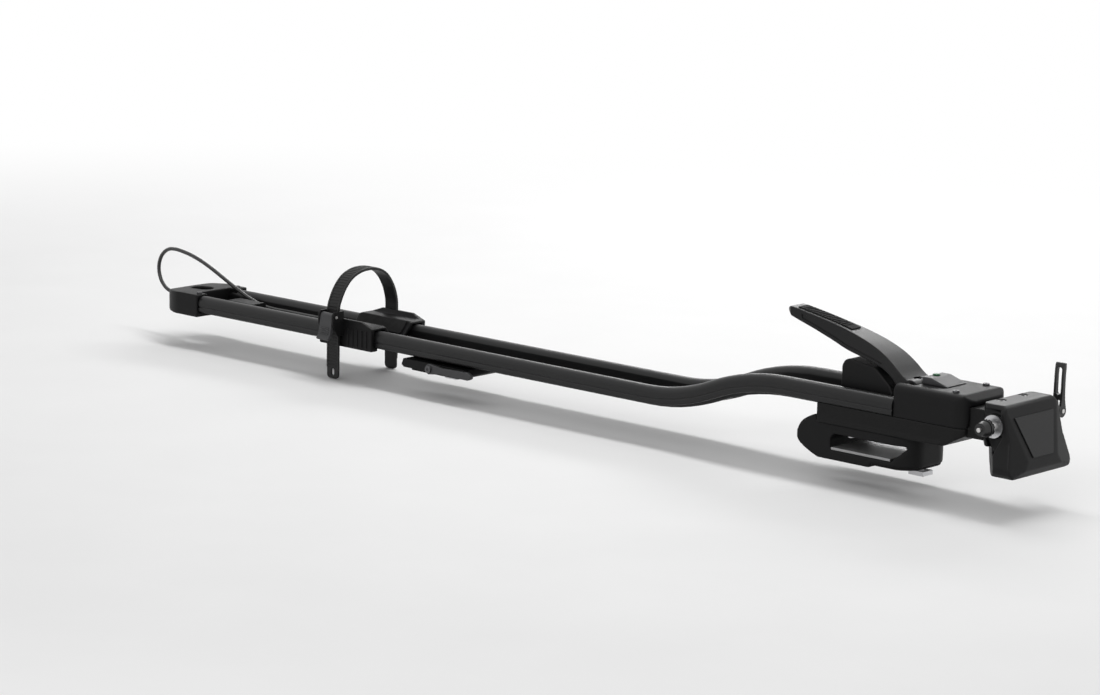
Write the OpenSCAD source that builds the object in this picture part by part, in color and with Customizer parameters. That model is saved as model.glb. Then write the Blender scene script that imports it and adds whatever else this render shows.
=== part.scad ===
// Roof bicycle carrier with a fork head, a bent wheel tray and a strapped wheel cradle.
// Millimetres, +X forward, +Y to the left side, +Z up. Origin on the front bar under the clamp bolt.

/* [Tray] */
// Overall width of the tray
tray_w = 84; // [82:1:88]
// Width of one side bead
bead_w = 17; // [15:0.5:18]
// Height of a side bead
bead_h = 21; // [19:0.5:23]
// Wall of the extrusion
tray_wall = 2.6; // [2.2:0.1:3]
// Height of the bead bottoms above the bars
tray_z = 19; // [18.5:0.5:22]
// Length of the tray behind the front bar
tray_back = 1150; // [1130:5:1180]
// Start of the S bend behind the front bar
bend_start = 370; // [364:1:382]
// Length of the S bend
bend_run = 205; // [198:1:212]
// Rise of the S bend
bend_rise = 41; // [38:1:46]

/* [Rear end] */
// Length of the end cap behind the tray
cap_len = 67; // [64:1:74]
// Wall of the end cap around the tray
cap_wall = 2.5; // [2:0.1:3.5]
// Length of the oval hole
cap_hole_l = 34; // [26:1:38]
// Width of the oval hole
cap_hole_w = 22; // [16:1:26]
// Diameter of the lock cable
cable_d = 5; // [4:0.5:6]

/* [Front foot] */
// Height of the cast body above the bar
foot_h = 38; // [34:1:40]
// Width of the cast body and its cover
body_w = 80; // [76:1:84]
// Rear end of the cast body
body_rear = 117; // [110:1:122]
// Rear end of the cover, where the tray stops
cover_rear = 12; // [12:0.5:15]
// Front end of the cover
cover_front = 87; // [84:1:91]
// Height of the cover above the body
cover_h = 37; // [36:0.5:40]
// Wall of the cover
cover_wall = 3.5; // [2.5:0.5:4]
// Rear end of the open frame
frame_rear = 145; // [140:1:150]
// Front end of the flat seat under the cast body
frame_front = 53; // [48:1:56]
// Front end of the rounded frame, ahead of the clamp bolt
frame_end = 14; // [12:1:18]
// Width of the open frame
frame_w = 78; // [72:1:82]
// Thickness of the lower arm of the frame
arm_t = 6; // [5:0.5:7]
// Depth of the frame below the bar top, behind the bar
frame_drop = 3; // [2:0.5:4]
// Thickness of the rubber pads
pad_t = 2.5; // [2:0.5:4]

/* [Clamp lever] */
// Width of the lever at its hub
lever_w = 41; // [38:1:43]
// Width of the lever at its tip
lever_tip_w = 25; // [20:1:30]
// Radius of the lever hub
hub_r = 11; // [10:0.5:11.5]
// Radius of the pivot stubs and of the crank journal
pivot_r = 4; // [3.5:0.25:4.25]
// Throw of the crank journal
lever_throw = 4; // [3.5:0.1:4.2]
// Opening angle of the lever
lever_open = 70; // [60:1:72]
// Radius of a clamp bolt shank
bolt_r = 4; // [3.5:0.25:4.5]

/* [Fork head] */
// Distance between the two dropout faces
fork_gap = 100; // [98:1:104]
// Position of the axle ahead of the front bar
axle_x = 129; // [127:1:134]
// Height of the axle above the bar
axle_z = 73; // [71:1:76]
// Radius of an axle end
axle_r = 4.5; // [4:0.25:5]
// Room for a dropout between washer and nut
dropout_t = 8.5; // [7.5:0.5:10]
// Radius of the skewer rod
skewer_r = 2.5; // [2.25:0.05:2.75]
// Length of the quick release lever
qr_len = 53; // [46:1:60]

/* [Wheel cradle] */
// Position of the strap behind the front bar
strap_back = 873; // [868:1:878]
// Length of the cradle along the tray
cradle_len = 92; // [86:1:96]
// Height of the cradle walls above the beads
wing_h = 10; // [8:0.5:13]
// Width of the strap
strap_w = 20; // [18:0.5:22]
// Thickness of the strap
strap_t = 2.6; // [2.2:0.1:3]
// Top of the strap loop
loop_top = 107; // [100:1:114]

/* [Rear foot] */
// Distance between the two bars
bar_gap = 711; // [700:1:715]
// Length of the rear saddle
saddle_len = 110; // [104:1:114]
// Width of the rear saddle
saddle_w = 80; // [76:1:82]
// Radius of the rear cam shaft
shaft_r = 3.5; // [3:0.1:3.7]
// Throw of the rear cam
rear_throw = 1.5; // [1.2:0.1:1.6]
// Length of the rear clamp lever
rear_lever_len = 70; // [60:1:80]

/* [Fits] */
// Running clearance of pins, shafts and rods
run_c = 0.05; // [0.03:0.01:0.08]
// Clearance of parts that slide or pass by
slip_c = 0.4; // [0.35:0.05:0.6]

/* [Hidden] */
$fn = 48;
black_metal = [0.10, 0.10, 0.11];
black_plastic = [0.07, 0.07, 0.08];
grey_plastic = [0.28, 0.28, 0.30];
steel = [0.70, 0.71, 0.73];
rubber = [0.04, 0.04, 0.04];
eps = 0.01;
// tray
bead_y = tray_w / 2 - bead_w / 2;
tray_in = tray_w / 2 - bead_w;
floor_up = 5;
rail_down = 4;
rail_t = 2.4;
lip_in = tray_in - 7;
bend_a = 2 * atan(bend_rise / bend_run);
bend_r = bend_run / (2 * sin(bend_a));
bend_end = bend_start - bend_run;
floor_z = tray_z + floor_up;
front_z = tray_z + bend_rise;
front_floor = front_z + floor_up;
// rear end
cap_r = tray_w / 2 + cap_wall;
cap_tip = tray_back + cap_len;
cap_lap = 14;
cap_bot = tray_z - 6.5;
cap_top = tray_z + bead_h + 2;
gland_z = tray_z + 9;
gland_out = 6;
// front foot
lug_in = lever_w / 2 + 1.3;
lug_out = lug_in + 7.2;
lever_half = lever_open / 2;
pivot_x = -lever_throw * (1 + cos(lever_half)) / 2;
pivot_z = front_z + 28;
crank_x = pivot_x + lever_throw * cos(lever_half);
crank_z = pivot_z + lever_throw * sin(lever_half);
crank_half = 5.2;
eye_half = crank_half - slip_c - 0.2;
eye_c = 0.7;
eye_r = pivot_r + eye_c + 3.6;
cover_top = front_z + cover_h;
win_x0 = -frame_rear + 48;
win_x1 = -12.5;
win_x2 = 6.5;
win_z0 = pad_t + arm_t;
win_z1 = foot_h - 11;
pad_half = 40;
frame_bolt_x = [win_x0 + 17, win_x0 + 57];
frame_bolt_y = 22;
bolt_hole = bolt_r + slip_c + 0.2;
head_t_x = 20;
head_t_y = 18;
head_t_h = 5;
head_drop = 4;
beam_w = 60;
flange_y = tray_w / 2 + 0.5;
beam_z0 = front_z - 10;
beam_z1 = front_z + 24;
head_back = axle_x - 25;
button_x = 16;
button_r = 4;
wedge_h = 8;
// fork head
face_y = fork_gap / 2;
washer_t = 1.5;
nut_y = face_y + washer_t + dropout_t;
nut_l = 14;
cap_t = 3.3;
qr_r = 7;
qr_throw = 1.2;
qr_y = nut_y + 12;
qr_cheek = 3.2;
qr_half = 6;
// wheel cradle
cradle_x0 = -strap_back - 30;
cradle_x1 = cradle_x0 + cradle_len;
cradle_in = tray_w / 2 + slip_c;
cradle_y = tray_w / 2 + 6;
bead_top = tray_z + bead_h;
back_t = 3;
near_y = cradle_y + back_t + 0.4 + strap_t / 2;
far_y = cradle_y + 0.5 + strap_t / 2;
anchor_r = 2.2;
anchor_y = far_y + strap_t / 2 + 0.4 + anchor_r;
anchor_z = 34;
cheek_in = strap_w / 2 + 0.7;
cheek_t = 2.6;
buckle_z = 53;
buckle_y = near_y + 8.3;
buckle_r = 5;
buckle_pin_r = 2;
// rear foot
shaft_a = 50;
shaft_x = -bar_gap + rear_throw * (1 + cos(shaft_a)) / 2;
shaft_z = 8.5;
cam_x = shaft_x - rear_throw * cos(shaft_a);
cam_z = shaft_z + rear_throw * sin(shaft_a);
cam_half = 4.6;
rear_eye_half = cam_half - slip_c - 0.2;
rear_eye_c = 0.65;
rear_eye_r = shaft_r + rear_eye_c + 2.3;
saddle_top = tray_z - 5.5;
rear_lever_y = max(tray_w, saddle_w) / 2 + 1.4;
rear_lever_t = 6;

// Spline through a list of points
function cr(a, b, c, d, t) =
    0.5 * (2 * b + (c - a) * t + (2 * a - 5 * b + 4 * c - d) * t * t
    + (3 * b - a - 3 * c + d) * t * t * t);
function smooth(p, n) = concat([for (i = [0 : len(p) - 2]) for (k = [0 : n - 1])
    cr(p[max(i - 1, 0)], p[i], p[i + 1], p[min(i + 2, len(p) - 1)], k / n)], [p[len(p) - 1]]);
function heading(p, i) = let(d = p[min(i + 1, len(p) - 1)] - p[max(i - 1, 0)]) d / norm(d);
function aside(p, s) = [for (i = [0 : len(p) - 1]) p[i] + s * [-heading(p, i)[1], heading(p, i)[0]]];
function back(p) = [for (i = [len(p) - 1 : -1 : 0]) p[i]];

// Upper and lower line of the clamp lever seen from the side, measured from its pivot
lever_up = smooth([[-5, 9.8], [-12.4, 14.5], [-23.4, 23.5], [-38.4, 33.5], [-58.4, 42.5], [-80.4, 49.5],
    [-104.4, 55.5], [-136.4, 62], [-168.4, 67.5]], 4);
lever_end = [[-177.4, 68.4], [-182.4, 66], [-181.6, 62.4], [-175, 57.4]];
lever_low = smooth([[-167, 54.8], [-141.9, 47.1], [-118.4, 39.2], [-96.4, 31.4], [-76.4, 26.5], [-54.4, 21.5],
    [-38.4, 16.5], [-26.4, 9], [-17.9, 1], [-10.4, -3.6]], 4);
lever_plan = [[12, lever_w / 2], [-20, lever_w / 2], [-60, lever_w / 2 - 3.5], [-110, lever_tip_w / 2 + 1],
    [-176, lever_tip_w / 2], [-182, lever_tip_w / 2 - 4]];

// Line of the strap seen from the front, from the near tail over the loop to the far tail
strap_arch = smooth([[-near_y, buckle_z + 8], [-near_y + 1.6, buckle_z + 16], [-43, 85], [-31, loop_top - 9],
    [-16, loop_top - 2], [0, loop_top], [16, loop_top - 2], [31, loop_top - 10], [43, 81],
    [far_y - 1.4, 66], [far_y, 56]], 4);
strap_line = concat([[-near_y, -27], [-near_y, 20]], strap_arch, [[far_y, 20], [far_y, -28]]);

// Line of the lock cable from the gland along the tray to the lock block
cable_pts = [[-cap_tip - gland_out, 0, gland_z], [-1231, 0, gland_z], [-1242.1, 0, 30.2], [-1251.5, 0, 36.5],
    [-1257.8, 0, 45.9], [-1260, 0, 57], [-1257.8, 0, 68.1], [-1251.5, 0, 77.5], [-1242.1, 0, 83.8], [-1231, 0, 86],
    [-1210, 0, 84.5], [-1186, 1, 79], [-1163, 3, 70], [-1140, 7, 57.5], [-1118, 11.5, 45],
    [-1098, 15.5, 35], [-1078, 18.2, 28.7], [-1058, 19.6, 26.6], [-1034, 20, 26.6], [-1010, 20, 26.6],
    [-986, 20, 26.6], [-962, 20, 26.6], [-952, 17.3, 26.6], [-944.7, 10, 26.6], [-942, 0, 26.6],
    [-944.7, -10, 26.6], [-952, -17.3, 26.6], [-962, -20, 26.6], [-986, -19.6, 26.6], [-1008, -17.6, 26.8],
    [-1028, -14.6, 28.4], [-1044, -12.4, 30.4], [-1054, -11.4, 31]];
lock_l = 46;
lock_w = 26;
lock_h = 14;
core_r = 5;
core_out = 1.6;

// Flat shape in Y and Z drawn out along X
module along_x(x0, x1) {
    translate([x0, 0, 0]) rotate([90, 0, 90]) linear_extrude(x1 - x0) children();
}
// Flat shape in X and Z drawn out along Y
module along_y(y0, y1) {
    translate([0, y1, 0]) rotate([90, 0, 0]) linear_extrude(y1 - y0) children();
}
module rod_y(x, z, r, y0, y1) {
    translate([x, y1, z]) rotate([90, 0, 0]) cylinder(r = r, h = y1 - y0);
}
module rod_x(y, z, r, x0, x1) {
    translate([x0, y, z]) rotate([0, 90, 0]) cylinder(r = r, h = x1 - x0);
}
module rod_z(x, y, r, z0, z1) {
    translate([x, y, z0]) cylinder(r = r, h = z1 - z0);
}
module box(x0, x1, y0, y1, z0, z1) {
    translate([x0, y0, z0]) cube([x1 - x0, y1 - y0, z1 - z0]);
}
// Rounded rectangle with true arcs
module rrect(x0, y0, x1, y1, r) {
    translate([x0 + r, y0]) square([x1 - x0 - 2 * r, y1 - y0]);
    translate([x0, y0 + r]) square([x1 - x0, y1 - y0 - 2 * r]);
    for (x = [x0 + r, x1 - r]) for (y = [y0 + r, y1 - r]) translate([x, y]) circle(r = r);
}
module both_sides() {
    children();
    mirror([0, 1, 0]) children();
}
// Round screw head with a hexagon socket, standing on z = 0
module screw_head(r, h, key) {
    difference() {
        cylinder(r = r, h = h);
        translate([0, 0, h - 1.2]) cylinder(r = key, h = 2, $fn = 6);
    }
}
// T shaped bolt with an eye at its top, on x = 0 and y = 0
module t_bolt(eye_z, r_eye, r_hole, half) {
    difference() {
        union() {
            box(-head_t_x / 2, head_t_x / 2, -head_t_y / 2, head_t_y / 2, -head_drop - head_t_h, -head_drop);
            rod_z(0, 0, bolt_r, -head_drop - eps, eye_z - r_hole - 1.2);
            intersection() {
                rod_y(0, eye_z, r_eye, -half, half);
                box(-r_eye, r_eye, -half, half, eye_z - r_eye, eye_z + r_eye);
            }
        }
        rod_y(0, eye_z, r_hole, -half - 5, half + 5);
    }
}

// Cross section of the tray, measured from the bead bottoms
function arc(x, y, r, a0, a1, n) = [for (i = [0 : n]) [x, y] + r * [cos(a0 + (a1 - a0) * i / n),
    sin(a0 + (a1 - a0) * i / n)]];
function flip(p) = [for (i = [len(p) - 1 : -1 : 0]) [-p[i][0], p[i][1]]];
bead_c = bead_h - bead_w / 2;
tray_right = concat([[tray_in, floor_up - tray_wall], [tray_in, rail_t - rail_down], [lip_in, rail_t - rail_down],
    [lip_in, -rail_down], [tray_in + tray_wall, -rail_down], [tray_in + tray_wall, 0]],
    arc(tray_w / 2 - 3, 3, 3, -90, 0, 4), [[tray_w / 2, 6], [tray_w / 2 - 0.8, 6.5], [tray_w / 2 - 0.8, 7.5],
    [tray_w / 2, 8]], arc(bead_y, bead_c, bead_w / 2, 0, 180, 14), [[tray_in, floor_up]]);
bead_right = concat([[tray_w / 2 - 3, 0]], arc(tray_w / 2 - 3, 3, 3, -90, 0, 4),
    arc(bead_y, bead_c, bead_w / 2, 0, 180, 14), [[tray_in, 0]]);
hollow_r = bead_w / 2 - tray_wall;
hollow_right = concat([[bead_y - hollow_r, tray_wall], [bead_y + hollow_r, tray_wall]],
    arc(bead_y, bead_c, hollow_r, 0, 180, 12));
module tray_section() {
    difference() {
        polygon(concat(tray_right, flip(tray_right)));
        polygon(hollow_right);
        polygon(flip(hollow_right));
    }
}
module wheel_tray() {
    color(black_metal) {
        translate([0, 0, tray_z]) along_x(-tray_back, -bend_start) tray_section();
        translate([-bend_start, 0, tray_z + bend_r]) rotate([90, 0, 0]) rotate([0, 0, -90])
            rotate_extrude(angle = bend_a) translate([bend_r, 0]) rotate(90) tray_section();
        translate([-bend_end, 0, front_z - bend_r]) rotate([90, 0, 0]) rotate([0, 0, 90])
            rotate_extrude(angle = bend_a) translate([bend_r, 0]) rotate(-90) tray_section();
        translate([0, 0, front_z]) along_x(-bend_end, -cover_rear) tray_section();
    }
}

// End cap that laps the tray
module cap_plan() {
    translate([-cap_tip + cap_r, 0]) circle(r = cap_r);
    translate([-cap_tip + cap_r, -cap_r]) square([cap_len - cap_r + cap_lap, 2 * cap_r]);
}
module rear_end_cap() {
    color(black_plastic) difference() {
        intersection() {
            translate([0, 0, cap_bot]) linear_extrude(cap_top - cap_bot) cap_plan();
            along_y(-cap_r - 1, cap_r + 1) polygon([[-cap_tip - 1, cap_bot + 8], [-cap_tip + 3, cap_bot + 4.4],
                [-cap_tip + 11, cap_bot + 1.8], [-tray_back - 34, cap_bot], [-tray_back + cap_lap + 1, cap_bot],
                [-tray_back + cap_lap + 1, cap_top], [-tray_back - 20, cap_top], [-cap_tip + 18, cap_top - 1.6],
                [-cap_tip + 6, cap_top - 4], [-cap_tip - 1, cap_top - 8]]);
        }
        translate([0, 0, tray_z]) along_x(-tray_back, -tray_back + cap_lap + 2) {
            polygon(bead_right);
            polygon(flip(bead_right));
            translate([-tray_in - tray_wall - 0.5, -rail_down - 0.5]) square([2 * (tray_in + tray_wall + 0.5), 12]);
            translate([-tray_in - 1, 3]) square([2 * tray_in + 2, 40]);
        }
        translate([-tray_back - 25, 0, cap_bot - 1]) linear_extrude(60) {
            for (s = [-1, 1]) translate([s * (cap_hole_l - cap_hole_w) / 2, 0]) circle(d = cap_hole_w);
            square([cap_hole_l - cap_hole_w, cap_hole_w], center = true);
        }
        rod_x(0, gland_z, cable_d / 2 + 3, -cap_tip - 5, -cap_tip + 12);
        for (s = [-1, 1]) rod_z(-tray_back + cap_lap / 2, s * bead_y, 1.6, bead_top - 6, cap_top + 1);
    }
}
module end_cap_screws() {
    color(steel) for (s = [-1, 1]) translate([-tray_back + cap_lap / 2, s * bead_y, cap_top]) {
        screw_head(3.6, 2.2, 1.4);
        translate([0, 0, bead_top - cap_top]) cylinder(r = 1.6, h = cap_top - bead_top + eps);
    }
}
module cable_gland() {
    color(black_plastic) rod_x(0, gland_z, cable_d / 2 + 3, -cap_tip - gland_out, -cap_tip + 12);
}
// Tube swept along the cable line
function cable_dir(i) = let(d = cable_pts[min(i + 1, len(cable_pts) - 1)] - cable_pts[max(i - 1, 0)])
    d / norm(d);
function cable_side(i) = let(n = [0.2, 1, 0.9] - cable_dir(i) * (cable_dir(i) * [0.2, 1, 0.9])) n / norm(n);
module lock_cable() {
    n = 10;
    m = len(cable_pts);
    pts = [for (i = [0 : m - 1]) let(u = cable_side(i), v = cross(cable_dir(i), u)) for (k = [0 : n - 1])
        cable_pts[i] + cable_d / 2 * (cos(k * 360 / n) * u + sin(k * 360 / n) * v)];
    walls = [for (i = [0 : m - 2]) for (k = [0 : n - 1])
        each [[i * n + k, (i + 1) * n + k, (i + 1) * n + (k + 1) % n],
        [i * n + k, (i + 1) * n + (k + 1) % n, i * n + (k + 1) % n]]];
    color(black_plastic) polyhedron(points = pts, faces = concat(walls,
        [[for (k = [0 : n - 1]) k]], [[for (k = [n - 1 : -1 : 0]) (m - 1) * n + k]]), convexity = 6);
}
module cable_lock_body() {
    color(black_plastic) difference() {
        translate([0, -11.4, floor_z]) along_x(-1054 - lock_l, -1054) rrect(-lock_w / 2, 0, lock_w / 2, lock_h, 3.5);
        rod_x(-11.4, floor_z + lock_h / 2, core_r + run_c, -1054 - lock_l - 1, -1054 - lock_l + 12);
    }
}
module cable_lock_core() {
    color(steel) difference() {
        rod_x(-11.4, floor_z + lock_h / 2, core_r, -1054 - lock_l - core_out, -1054 - lock_l + 11.6);
        box(-1054 - lock_l - 5, -1054 - lock_l + 1, -11.8, -11, floor_z + lock_h / 2 - 3, floor_z + lock_h / 2 + 3);
    }
}

// Outline from above of the cast body and its cover, with round front corners
module front_plan() {
    rrect(-body_rear - 40, -body_w / 2, cover_front, body_w / 2, 18);
}
// Cast body under the tray with pivot lugs and the beam to the head
module front_foot_body() {
    color(black_metal) difference() {
        union() {
            intersection() {
                along_y(-body_w / 2, body_w / 2) polygon([[-body_rear + 4, foot_h], [frame_front + 4, foot_h],
                    [cover_front - 5, front_z - 8], [cover_front - 4, front_z], [-body_rear, front_z],
                    [-body_rear, foot_h + 4]]);
                linear_extrude(200) front_plan();
            }
            box(-body_rear + 2, frame_front, -flange_y, flange_y, foot_h, foot_h + 3.5);
            along_y(-beam_w / 2, beam_w / 2) polygon([[frame_front - 20, front_z - 2], [frame_front + 10, beam_z0],
                [head_back, beam_z0], [head_back, beam_z1], [frame_front - 20, beam_z1]]);
            both_sides() along_y(lug_in, lug_out) {
                translate([pivot_x - 8, front_z - 1]) square([16, pivot_z - front_z + 1]);
                translate([pivot_x, pivot_z]) circle(r = 8);
            }
        }
        box(-body_rear - 1, -cover_rear, -tray_in - tray_wall - 1, tray_in + tray_wall + 1,
            front_z - rail_down - 1, front_z + 1);
        rod_z(0, 0, bolt_hole, foot_h - 1, front_z + 5);
        both_sides() rod_y(pivot_x, pivot_z, pivot_r + run_c, lug_in - 1, lug_out + 1);
    }
}
module cover_side() {
    polygon([[-cover_rear, front_z], [cover_front - 4, front_z], [cover_front, front_z + 22],
        [cover_front, cover_top - 7], [cover_front - 9, cover_top], [-cover_rear, cover_top]]);
}
module front_foot_cover() {
    color(black_plastic) difference() {
        intersection() {
            along_y(-body_w / 2, body_w / 2) cover_side();
            linear_extrude(200) front_plan();
            along_x(-cover_rear - 1, cover_front + 1) {
                rrect(-body_w / 2, front_z + 10, body_w / 2, cover_top, 9);
                translate([-body_w / 2, front_z]) square([body_w, 20]);
            }
        }
        box(-cover_rear + cover_wall, cover_front - cover_wall - 12, -body_w / 2 + cover_wall, body_w / 2 - cover_wall,
            front_z - 1, cover_top - cover_wall);
        box(-cover_rear - 1, 9.6, -lug_out - slip_c, lug_out + slip_c, front_z - 1, cover_top + 1);
        box(30, cover_front + 1, -beam_w / 2 - slip_c, beam_w / 2 + slip_c, front_z - 1, beam_z1 + slip_c);
        rod_z(button_x, 0, button_r + slip_c, cover_top - 9, cover_top + 1);
        for (s = [-1, 1]) rod_z(cover_front - 24, s * (body_w / 2 - 12), 1.8, cover_top - 10, cover_top + 1);
    }
}
module cover_screws() {
    color(steel) for (s = [-1, 1]) translate([cover_front - 24, s * (body_w / 2 - 12), cover_top]) {
        screw_head(3.8, 2.2, 1.5);
        translate([0, 0, -cover_wall]) cylinder(r = 1.8, h = cover_wall + eps);
    }
}
module lever_rest() {
    color(black_plastic) along_y(-22, 22) polygon([[-98, front_floor], [-26, front_floor], [-26, front_floor + 15],
        [-31, front_floor + 24], [-52, front_floor + 41], [-88, front_floor + 46], [-94.5, front_floor + 43.5],
        [-98, front_floor + 37]]);
}
// Side view of the open frame, with its blunt nose behind the bar
frame_nose = smooth([[-frame_rear + 22, foot_h + 6.6], [-frame_rear + 10.5, foot_h + 0.4], [-frame_rear + 3, 30.5],
    [-frame_rear, 21.5], [-frame_rear + 1, 14.5], [-frame_rear + 6.5, 8.6], [-frame_rear + 17, 2.4],
    [-frame_rear + 30, -frame_drop]], 3);
frame_side = concat(frame_nose, [[-pad_half - 3, -frame_drop], [-pad_half - 1, 2 - frame_drop],
    [-pad_half - 1, pad_t], [frame_end, pad_t], [frame_end, foot_h], [-body_rear - 0.3, foot_h],
    [-body_rear - 0.3, foot_h + 7]]);
module foot_frame() {
    color(black_plastic) difference() {
        intersection() {
            along_y(-frame_w / 2, frame_w / 2) difference() {
                polygon(frame_side);
                polygon([[win_x0, win_z0], [win_x1, win_z0], [win_x2, win_z1], [win_x0 + 5, win_z1],
                    [win_x0, win_z1 - 5]]);
            }
            translate([0, 0, -20]) linear_extrude(100)
                rrect(-frame_rear - 60, -frame_w / 2, frame_end, frame_w / 2, 26);
        }
        rod_z(0, 0, bolt_hole, 0, foot_h + 1);
        for (x = frame_bolt_x) for (s = [-1, 1]) rod_z(x, s * frame_bolt_y, 3, win_z1 - 1, foot_h + 1);
    }
}
module frame_bolts() {
    color(steel) for (x = frame_bolt_x) for (s = [-1, 1]) {
        translate([x, s * frame_bolt_y, win_z1]) rotate([180, 0, 0]) screw_head(5, 4, 2.4);
        rod_z(x, s * frame_bolt_y, 3, win_z1 - eps, foot_h);
    }
}
module foot_track_plate() {
    color(steel) box(win_x0 + 0.4, win_x1 - 2, -frame_w / 2 + 1, frame_w / 2 - 1, win_z0, win_z0 + 3);
}
module front_bar_pad() {
    color(rubber) difference() {
        intersection() {
            along_x(-pad_half, frame_end) rrect(-frame_w / 2 + 2, 0, frame_w / 2 - 2, pad_t, 0.8);
            translate([0, 0, -1]) linear_extrude(pad_t + 2)
                rrect(-pad_half - 60, -frame_w / 2 + 2, frame_end - 2, frame_w / 2 - 2, 24);
        }
        rod_z(0, 0, bolt_hole, -1, pad_t + 1);
    }
}

// Clamp lever: arm, hub cheeks and crank journal in one piece
module clamp_lever() {
    color(black_plastic) translate([pivot_x, 0, pivot_z]) {
        difference() {
            union() {
                intersection() {
                    along_y(-lever_w, lever_w) polygon(concat(lever_up, lever_end, lever_low));
                    linear_extrude(400, center = true)
                        polygon(concat(lever_plan, [for (p = back(lever_plan)) [p[0], -p[1]]]));
                }
                rod_y(0, 0, hub_r, -lever_w / 2, lever_w / 2);
            }
            rod_y(0, 0, lever_throw + eye_r + 0.9, -crank_half, crank_half);
            both_sides() rod_y(0, 0, pivot_r + run_c, 8, lever_w);
        }
        rod_y(crank_x - pivot_x, crank_z - pivot_z, pivot_r, -crank_half - 1, crank_half + 1);
    }
}
// Soft insert along the top of the lever
grip_line = [for (i = [22 : 32]) lever_up[i]];
module lever_grip() {
    color(rubber) translate([pivot_x, 0, pivot_z]) along_y(-lever_tip_w / 2 + 4, lever_tip_w / 2 - 4)
        polygon(concat([for (p = grip_line) p + [0.2, 1.2]], back(grip_line)));
}
module lever_pivot_pins() {
    color(steel) both_sides() rod_y(pivot_x, pivot_z, pivot_r, 8.6, lug_out);
}
module front_t_bolt() {
    color(steel) t_bolt(crank_z, eye_r, pivot_r + eye_c, eye_half);
}
module lock_housing() {
    color(grey_plastic) difference() {
        along_y(-18, 18) polygon([[9.6, cover_top], [9.6, cover_top + wedge_h - 1.4], [11, cover_top + wedge_h],
            [22.5, cover_top + wedge_h], [44, cover_top + 1], [44, cover_top]]);
        rod_z(button_x, 0, button_r + slip_c, cover_top - 1, cover_top + wedge_h + 1);
    }
}
module release_button() {
    color([0.1, 0.55, 0.25]) rod_z(button_x, 0, button_r, cover_top - 2, cover_top + wedge_h + 1.8);
}

// Fork head
module head_corner_cut() {
    translate([axle_x + 14.5, face_y - 10, axle_z + 20]) rotate([0, -14.34, 11.6])
        translate([0, -120, -150]) cube([80, 240, 300]);
}
module fork_head() {
    color(black_plastic) difference() {
        intersection() {
            along_y(-face_y - 10, face_y + 10) polygon([[head_back, axle_z - 23], [head_back + 9, axle_z - 43],
                [head_back + 17, axle_z - 53], [head_back + 24, axle_z - 56], [axle_x + 21, axle_z - 56],
                [axle_x + 29, axle_z - 54],
                [axle_x + 33, axle_z - 46], [axle_x + 32, axle_z - 37], [axle_x + 13, axle_z + 20],
                [axle_x + 9, axle_z + 23], [axle_x - 18, axle_z + 23], [head_back, axle_z + 16]]);
            along_x(head_back - 1, axle_x + 60) polygon([for (s = [-1, 1]) for (p = s > 0 ?
                [[-7, -56], [2, -53.6], [7, -49], [8, -43], [5, -33], [0, -16], [0, 16], [-6, 23]] :
                [[-6, 23], [0, 16], [0, -16], [5, -33], [8, -43], [7, -49], [2, -53.6], [-7, -56]])
                [s * (face_y + p[0]), axle_z + p[1]]]);
            linear_extrude(300) polygon([for (s = [-1, 1]) for (p = s < 0 ?
                [[0, -18], [21, 8], [57, 8], [66, 4]] : [[66, 4], [57, 8], [21, 8], [0, -18]])
                [head_back + p[0], s * (face_y + p[1])]]);
        }
        both_sides() head_corner_cut();
        both_sides() linear_extrude(axle_z - 23)
            polygon([[head_back - 4, face_y - 32.5], [head_back + 43, face_y + 20], [head_back - 4, face_y + 20]]);
        both_sides() difference() {
            along_y(face_y - 5, face_y + 20) translate([axle_x, axle_z])
                polygon([[-14, 18], [8, 18], [13, -6], [2, -32], [-14, -8]]);
            rod_y(axle_x, axle_z, 13, face_y - 6, face_y);
        }
        rod_y(axle_x, axle_z, 7, -face_y - 1, face_y + 1);
        for (s = [-1, 1]) rod_z(axle_x - 12, s * 20, 5.2, axle_z + 18, axle_z + 30);
    }
}
module head_plate() {
    color(black_metal) translate([axle_x + 22.5, 0, axle_z - 8.5]) rotate([0, -18.43, 0])
        along_x(0, 1.4) polygon([[-18.4, -27], [18.4, -27], [36, 19], [-36, 19]]);
}
module head_bolts() {
    color(steel) for (s = [-1, 1]) translate([axle_x - 12, s * 20, axle_z + 18]) screw_head(4.6, 4, 2.4);
}
module axle_tube() {
    color(steel) difference() {
        union() {
            rod_y(axle_x, axle_z, 7, -face_y, face_y);
            rod_y(axle_x, axle_z, axle_r, -face_y - washer_t - 5, face_y + washer_t + 5);
        }
        rod_y(axle_x, axle_z, skewer_r + run_c, -face_y - 20, face_y + 20);
    }
}
module dropout_washers() {
    color(steel) both_sides() difference() {
        rod_y(axle_x, axle_z, 12.5, face_y, face_y + washer_t);
        rod_y(axle_x, axle_z, axle_r, face_y - 1, face_y + washer_t + 1);
        for (a = [0 : 30 : 330]) translate([axle_x, face_y + washer_t, axle_z]) rotate([0, a, 0])
            translate([0, -0.4, 9.5]) cube([1, 1, 4]);
    }
}
module skewer_rod() {
    color(steel) difference() {
        union() {
            rod_y(axle_x, axle_z, skewer_r, -nut_y - nut_l - 3, qr_y - 2);
            rod_x(qr_y, axle_z, 4.6, axle_x - qr_cheek + slip_c, axle_x + qr_cheek - slip_c);
        }
        rod_x(qr_y, axle_z, skewer_r, axle_x - 20, axle_x + 20);
    }
}
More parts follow.
